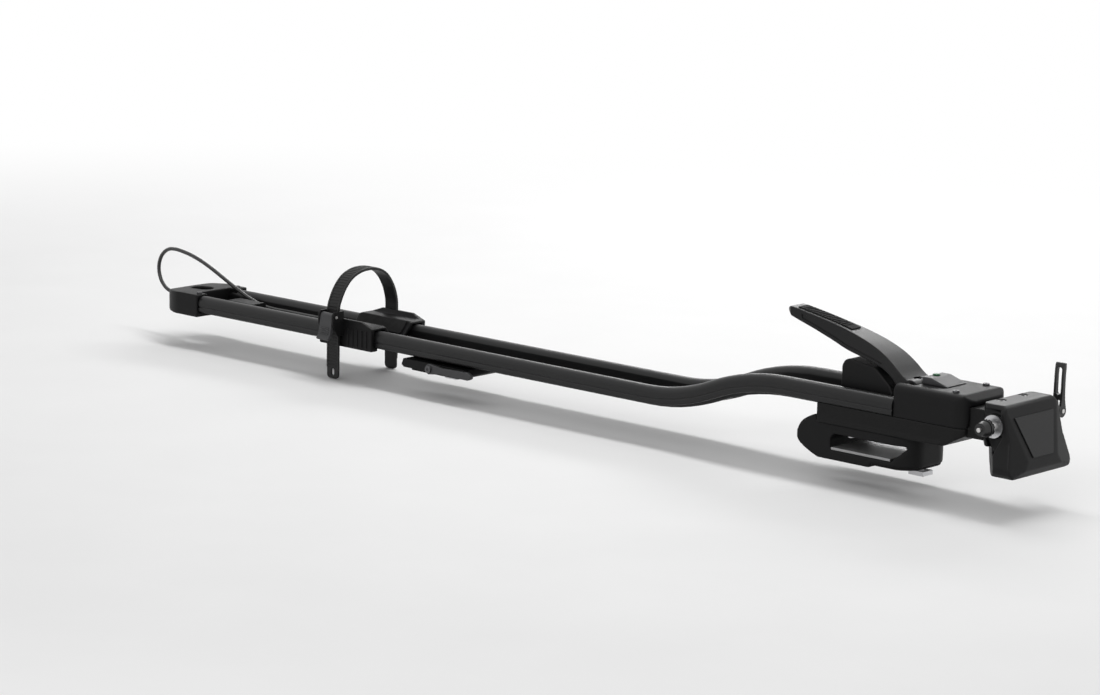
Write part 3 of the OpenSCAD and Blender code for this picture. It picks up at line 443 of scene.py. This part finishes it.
# Rounded copies of CAD nodes: node, body, finish, slot, rounding in mm, segments, least angle, cuts
for row in [
    ("wheel_tray", "carrier", satin_coat, "coated_aluminium", 0.5, 2),
    ("end_cap_screws", "carrier", dull_zinc, "zinc_steel", 0.25, 2),
    ("cable_gland", "carrier", black_moulding, "black_plastic", 0.8, 2),
    ("cable_lock_body", "carrier", black_moulding, "black_plastic", 1.2, 3),
    ("cable_lock_core", "key_core_body", turned, "bright_steel", 0.3, 2),
    ("cover_screws", "carrier", dull_zinc, "zinc_steel", 0.25, 2),
    ("lever_rest", "carrier", black_moulding, "black_plastic", 2.6, 4, 16),
    ("frame_bolts", "carrier", zinc, "zinc_steel", 0.3, 2),
    ("foot_track_plate", "carrier", brushed, "bright_aluminium", 0.4, 2),
    ("front_bar_pad", "carrier", pad_rubber, "black_rubber", 0.5, 2),
    ("clamp_lever", "clamp_lever_body", lever_moulding, "black_plastic", 2.4, 4, 30, lever_cuts),
    ("lever_grip", "clamp_lever_body", grip_rubber, "black_rubber", 0.5, 2),
    ("lever_pivot_pins", "carrier", turned, "bright_steel", 0.4, 2),
    ("front_t_bolt", "draw_bolt_body", zinc, "zinc_steel", 0.5, 2),
    ("release_button", "button_body", button_moulding, "green_plastic", 0.9, 3),
    ("head_plate", "carrier", satin_coat, "coated_aluminium", 0.5, 2),
    ("head_bolts", "carrier", dull_zinc, "zinc_steel", 0.35, 2),
    ("axle_tube", "carrier", turned, "bright_steel", 0.4, 2),
    ("dropout_washers", "carrier", zinc, "bright_steel", 0.2, 1),
    ("skewer_rod", "skewer_body", turned, "bright_steel", 0.3, 2),
    ("skewer_nut", "nut_body", black_steel, "black_steel", 0.5, 2),
    ("qr_cap", "carrier", black_steel, "black_steel", 0.6, 3),
    ("qr_pin", "skewer_body", turned, "bright_steel", 0.3, 2),
    ("qr_lever", "quick_lever_body", black_steel, "black_steel", 0.9, 3),
    ("cradle_pads", "cradle_body", pad_rubber, "black_rubber", 0.5, 2),
    ("strap_anchor_pin", "cradle_body", zinc, "zinc_steel", 0.3, 2),
    ("buckle_base", "cradle_body", black_moulding, "black_plastic", 0.6, 2),
    ("buckle_lever", "buckle_body", grey_moulding, "grey_plastic", 0.9, 3),
    ("buckle_pin", "cradle_body", turned, "bright_steel", 0.3, 2),
    ("drive_pawl", "buckle_body", turned, "bright_steel", 0.2, 1),
    ("rear_bar_pad", "rear_foot_body", pad_rubber, "black_rubber", 0.5, 2),
    ("rear_t_bolt", "rear_bolt_body", zinc, "zinc_steel", 0.4, 2),
    ("rear_cam_shaft", "rear_cam_body", turned, "bright_steel", 0.3, 2),
    ("rear_lever_screw", "rear_cam_body", dull_zinc, "zinc_steel", 0.25, 2),
]:
    dressed(*row)

# Mouldings with soft edges: node, body, finish, slot, voxel in mm, rounds of smoothing
for row in [
    ("fork_head", "carrier", head_moulding, "black_plastic", 1.1, 8),
    ("foot_frame", "carrier", black_moulding, "black_plastic", 1.3, 10),
    ("front_foot_body", "carrier", cast_skin, "cast_metal", 1.2, 6),
    ("front_foot_cover", "carrier", black_moulding, "black_plastic", 0.9, 9),
    ("rear_end_cap", "carrier", black_moulding, "black_plastic", 0.9, 9),
    ("lock_housing", "carrier", grey_moulding, "grey_plastic", 0.55, 7),
    ("wheel_cradle", "cradle_body", black_moulding, "black_plastic", 0.95, 2),
    ("rear_foot_saddle", "rear_foot_body", black_moulding, "black_plastic", 0.7, 3),
    ("rear_clamp_lever", "rear_cam_body", grey_moulding, "grey_plastic", 0.6, 8),
]:
    softened(*row)


# Wheel strap: one toothed pitch with raised rims, repeated along the loop, and a plain tab at each tail
PITCH, STRAP_W, STRAP_T = 4.0, 20.0, 2.6
RIM_IN, RIM_UP = 7.6, 0.6
TOOTH_FROM, TOOTH_TO, TOOTH_UP, TOOTH_LEAN = 1.0, 3.0, 0.8, 0.4
TOOTH_TAPER = (0.55, 1, 0.94)
TAB, TAB_LAP, TAB_CORNER = 14.0, 0.6, 5.5
HOLE_R, HOLE_HALF, HOLE_UP = 2.8, 1.7, 8.5
STRAP_X, NEAR_Y, FAR_Y = -873.0, -52.7, 49.8
NEAR_END, FAR_END = -27, -28
loop_knots = [(NEAR_Y, NEAR_END), (NEAR_Y, 20), (NEAR_Y, 61), (-51.1, 69), (-43, 85), (-31, 98), (-16, 105),
              (0, 107), (16, 105), (31, 97), (43, 81), (48.4, 66), (FAR_Y, 56), (FAR_Y, 20), (FAR_Y, FAR_END)]


def strap_route():
    """Flat curve through the knots with the same tangents as the strap's solid."""
    data = bpy.data.curves.new("strap_route", "CURVE")
    data.dimensions = "2D"
    data.resolution_u = 24
    spline = data.splines.new("BEZIER")
    spline.bezier_points.add(len(loop_knots) - 1)
    knots = [Vector((y, z, 0)) * MM for y, z in loop_knots]
    for i, knot in enumerate(spline.bezier_points):
        before, after = knots[max(i - 1, 0)], knots[min(i + 1, len(knots) - 1)]
        way = (after - before).normalized()
        knot.handle_left_type = knot.handle_right_type = "FREE"
        knot.co = knots[i]
        knot.handle_left = knots[i] - way * (knots[i] - before).length / 3
        knot.handle_right = knots[i] + way * (after - knots[i]).length / 3
    route = bpy.data.objects.new("strap_route", data)
    bpy.context.collection.objects.link(route)
    return route


def strap_pitch():
    """One pitch of the strap, lying along X with its outer face to +Y."""
    bpy.ops.object.select_all(action="DESELECT")
    bpy.ops.mesh.primitive_cube_add(size=1)
    pitch = bpy.context.object
    bpy.ops.object.mode_set(mode="EDIT")
    bpy.ops.transform.resize(value=(PITCH * MM, STRAP_T * MM, STRAP_W * MM))
    bpy.ops.transform.translate(value=(PITCH / 2 * MM, 0, 0))
    for z in (-RIM_IN, RIM_IN):
        bpy.ops.mesh.select_all(action="SELECT")
        bpy.ops.mesh.bisect(plane_co=(0, 0, z * MM), plane_no=(0, 0, 1))
    for x in (TOOTH_FROM, TOOTH_TO):
        bpy.ops.mesh.select_all(action="SELECT")
        bpy.ops.mesh.bisect(plane_co=(x * MM, 0, 0), plane_no=(1, 0, 0))
    bpy.ops.object.mode_set(mode="OBJECT")
    pick(pitch, lambda face: face.normal.y > 0.9 and abs(face.center.z) > RIM_IN * MM)
    bpy.ops.mesh.extrude_region_move(TRANSFORM_OT_translate={"value": (0, RIM_UP * MM, 0)})
    bpy.ops.object.mode_set(mode="OBJECT")
    pick(pitch, lambda face: face.normal.y > 0.9 and abs(face.center.z) < RIM_IN * MM
         and TOOTH_FROM < face.center.x / MM < TOOTH_TO)
    bpy.ops.mesh.extrude_region_move(TRANSFORM_OT_translate={"value": (TOOTH_LEAN * MM, TOOTH_UP * MM, 0)})
    bpy.ops.transform.resize(value=TOOTH_TAPER)
    bpy.ops.object.mode_set(mode="OBJECT")
    pick(pitch, lambda face: abs(face.normal.x) > 0.9 and not 0.01 < face.center.x / MM < PITCH - 0.01)
    bpy.ops.mesh.delete(type="FACE")
    bpy.ops.object.mode_set(mode="OBJECT")
    return pitch


STRAP_TURN = Matrix(((0, 0, 1, STRAP_X * MM), (1, 0, 0, 0), (0, 1, 0, 0), (0, 0, 0, 1)))
route = strap_route()
strap = strap_pitch()
strap_length = route.data.splines[0].calc_length() / MM
apply(strap, "ARRAY", "pitches", count=int((strap_length - 2 * TAB) / PITCH),
      relative_offset_displace=(1, 0, 0), use_merge_vertices=True, merge_threshold=JOIN)
bpy.ops.object.mode_set(mode="EDIT")
bpy.ops.mesh.select_all(action="SELECT")
bpy.ops.transform.translate(value=(TAB * MM, 0, 0))
bpy.ops.mesh.fill_holes(sides=40)
bpy.ops.object.mode_set(mode="OBJECT")
apply(strap, "CURVE", "loop", object=route, deform_axis="POS_X")
strap.matrix_world = STRAP_TURN
bpy.data.objects.remove(route)


def strap_tab(side, end, hole):
    """Plain rounded end of the strap, pointing down, with an oblong hole where the tail has one."""
    bpy.ops.object.select_all(action="DESELECT")
    bpy.ops.mesh.primitive_cube_add(size=1)
    tab = bpy.context.object
    bpy.ops.object.mode_set(mode="EDIT")
    bpy.ops.transform.resize(value=(STRAP_W * MM, STRAP_T * MM, (TAB + TAB_LAP) * MM))
    bpy.ops.transform.translate(value=(STRAP_X * MM, side * MM, (end + (TAB + TAB_LAP) / 2) * MM))
    bpy.context.tool_settings.mesh_select_mode = (False, True, False)
    bpy.ops.mesh.select_all(action="DESELECT")
    bpy.ops.object.mode_set(mode="OBJECT")
    for edge in tab.data.edges:
        a, b = (tab.data.vertices[i].co for i in edge.vertices)
        edge.select = abs(a.y - b.y) > MM and a.z < (end + 1) * MM
    bpy.ops.object.mode_set(mode="EDIT")
    bpy.ops.mesh.bevel(offset=TAB_CORNER * MM, segments=6, affect="EDGES")
    bpy.ops.object.mode_set(mode="OBJECT")
    if hole:
        turns = [math.radians(15 * step) for step in range(24)]
        slot = [(STRAP_X + HOLE_R * math.cos(turn),
                 end + HOLE_UP + math.copysign(HOLE_HALF, math.sin(turn)) + HOLE_R * math.sin(turn))
                for turn in turns]
        cut(tab, cutter(slot, "Y", side - 10, side + 10))
    apply(tab, "BEVEL", "softened", width=0.35 * MM, segments=2, limit_method="ANGLE")
    return tab


tails = [strap_tab(NEAR_Y, NEAR_END, True), strap_tab(FAR_Y, FAR_END, False)]
bpy.ops.object.select_all(action="DESELECT")
for one in tails + [strap]:
    one.select_set(True)
bpy.context.view_layer.objects.active = strap
bpy.ops.object.transform_apply(location=True, rotation=True, scale=True)
bpy.ops.object.join()
settle(strap, "wheel_strap_toothed", "cradle_body", strap_finish, 40)
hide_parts("wheel_strap")

# Stiffening ribs on the cradle's walls, thumb ridges on the buckle, cross ribs on the lever's grip
rib_x = (-898, -892, -852, -844, -836, -828, -820)
WALL_Y, RIB_Z = 48, 28.5
RIDGE_Y, RIDGE_Z, RIDGE_SLOPE = -67.6, 40.4, 0.33
GRIP_START, GRIP_STEP, GRIP_RIBS = -0.164, 0.0045, 14
copies(block("cradle_rib", (22, 2.6, 2.2), 0.8, 3),
       [facing((x, side * WALL_Y, RIB_Z), (0, 0, 1), (0, side, 0)) for x in rib_x for side in (-1, 1)],
       "cradle_ribs", "cradle_body", black_moulding)
copies(block("thumb_ridge", (15, 1.3, 1.6), 0.5, 3),
       [facing((STRAP_X, RIDGE_Y - RIDGE_SLOPE * step, RIDGE_Z - step), (1, 0, 0), (0, -0.95, 0.3))
        for step in (1, 3.4, 5.8, 8.2)],
       "buckle_thumb_ridges", "buckle_body", grey_moulding)
grip = bpy.data.objects["lever_grip_dressed"]
bpy.context.view_layer.update()
grip_spots = []
for step in range(GRIP_RIBS):
    hit, spot, up, face = grip.ray_cast(Vector((GRIP_START + GRIP_STEP * step, 0, 0.3)), Vector((0, 0, -1)))
    if hit:
        grip_spots.append(facing(spot / MM, (0, 1, 0), up))
copies(block("grip_rib", (14, 1.7, 1.6), 0.55, 3), grip_spots,
       "lever_grip_ribs", "clamp_lever_body", grip_rubber)

# Lock cable: one stiff line out of the end cap, over its tip and into the tray
cable_points = [
    (-1223, 0, 28), (-1231, 0, 28), (-1242.1, 0, 30.2), (-1251.5, 0, 36.5), (-1257.8, 0, 45.9),
    (-1260, 0, 57), (-1257.8, 0, 68.1), (-1251.5, 0, 77.5), (-1242.1, 0, 83.8), (-1231, 0, 86),
    (-1210, 0, 84.5), (-1186, 1, 79),
    (-1163, 3, 70), (-1140, 7, 57.5), (-1118, 11.5, 45), (-1098, 15.5, 35), (-1078, 18.2, 28.7),
    (-1058, 19.6, 26.6), (-1034, 20, 26.6), (-1010, 20, 26.6), (-986, 20, 26.6), (-962, 20, 26.6),
    (-952, 17.3, 26.6), (-944.7, 10, 26.6), (-942, 0, 26.6), (-944.7, -10, 26.6), (-952, -17.3, 26.6),
    (-962, -20, 26.6), (-986, -19.6, 26.6), (-1008, -17.6, 26.8), (-1028, -14.6, 28.4),
    (-1044, -12.4, 30.4), (-1054, -11.4, 31)]
line = bpy.data.curves.new("lock_cable_line", "CURVE")
line.dimensions = "3D"
line.bevel_depth = 0.0025
line.bevel_resolution = 6
line.resolution_u = 6
line.use_fill_caps = True
run = line.splines.new("BEZIER")
run.bezier_points.add(len(cable_points) - 1)
for knot, point in zip(run.bezier_points, cable_points):
    knot.co = Vector(point) * MM
    knot.handle_left_type = knot.handle_right_type = "AUTO"
cable = bpy.data.objects.new("lock_cable_line", line)
bpy.context.collection.objects.link(cable)
line.materials.append(cable_finish)
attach(cable, "carrier")
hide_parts("lock_cable")


# Stage: pale floor that runs out into the white backdrop, soft lamps, and the camera
def backdrop():
    f = Finish("pale_floor", Roughness=0.85, Specular_IOR_Level=0.1)
    grain = f.noise(f.place(), 6.0, 3.0)
    f.colour(f.blend(grain, rgb(0.80), rgb(0.84)))
    seen = f.node("ShaderNodeLightPath", out="Is Camera Ray").maths(
        "MAXIMUM", f.node("ShaderNodeLightPath", out="Is Glossy Ray")).maths(
        "MAXIMUM", f.node("ShaderNodeLightPath", out="Is Transmission Ray"))
    away = f.node("ShaderNodeVectorMath", {"operation": "LENGTH"}, {0: f.place((1 / 2.6, 1 / 2.2, 1.0))},
                  out="Value")
    glow = f.node("ShaderNodeEmission", None, {"Color": (1, 1, 1, 1), "Strength": 1.0})
    mixed = f.node("ShaderNodeMixShader", None,
                   {0: f.fade(away, 0.42, 1.0) * seen, 1: Wire(f, f.shader.outputs[0]), 2: glow})
    f.join(f.tree.nodes["Material Output"].inputs["Surface"], mixed)
    return f.material


centre = (cad_low + cad_high) / 2
bpy.ops.object.select_all(action="DESELECT")
FLOOR_GAP = 0.0004
bpy.ops.mesh.primitive_grid_add(x_subdivisions=8, y_subdivisions=8, size=60,
                                location=(centre.x, 0, cad_low.z - FLOOR_GAP))
floor = bpy.context.object
floor.name = "floor"
floor.data.materials.append(backdrop())

world = bpy.data.worlds.new("studio")
bpy.context.scene.world = world
world.use_nodes = True
sky = world.node_tree
rays = sky.nodes.new("ShaderNodeLightPath")
seen = rays.outputs["Is Camera Ray"]
for kind in ("Is Glossy Ray", "Is Transmission Ray"):
    either = sky.nodes.new("ShaderNodeMath")
    either.operation = "MAXIMUM"
    sky.links.new(seen, either.inputs[0])
    sky.links.new(rays.outputs[kind], either.inputs[1])
    seen = either.outputs[0]
level = sky.nodes.new("ShaderNodeMapRange")
LIT, WHITE = 0.45, 1.0
level.inputs["To Min"].default_value = LIT
level.inputs["To Max"].default_value = WHITE
sky.links.new(seen, level.inputs["Value"])
sky.nodes["Background"].inputs["Color"].default_value = (1, 1, 1, 1)
sky.links.new(level.outputs["Result"], sky.nodes["Background"].inputs["Strength"])


def lamp(name, place, aim, size, power):
    data = bpy.data.lights.new(name, "AREA")
    data.shape = "RECTANGLE"
    data.size, data.size_y = size
    data.energy = power
    made = bpy.data.objects.new(name, data)
    bpy.context.collection.objects.link(made)
    made.location = place
    made.rotation_mode = "QUATERNION"
    made.rotation_quaternion = (Vector(aim) - Vector(place)).to_track_quat("-Z", "Y")


lamp("top_soft", (-0.5, 0.5, 2.2), (-0.55, 0, 0), (2.8, 0.45), 30)
lamp("near_soft", (0.6, -2.6, 1.5), (-0.5, 0, 0.05), (2.4, 0.5), 17)
lamp("back_rim", (-1.4, 2.4, 1.3), (-0.5, 0, 0.05), (2.6, 0.4), 26)

ROLL = 1.15
eye = Vector((2.275, -3.129, 0.879))
aim = Vector((-0.555, 0.0, 0.052))
camera = bpy.data.objects.new("camera", bpy.data.cameras.new("camera"))
bpy.context.collection.objects.link(camera)
camera.data.lens = 117
camera.data.sensor_width = 36
camera.data.clip_end = 200
camera.location = eye
camera.rotation_mode = "QUATERNION"
camera.rotation_quaternion = ((aim - eye).to_track_quat("-Z", "Y")
                              @ Matrix.Rotation(math.radians(ROLL), 4, "Z").to_quaternion())
bpy.context.scene.camera = camera
bpy.context.scene.view_settings.view_transform = "Standard"
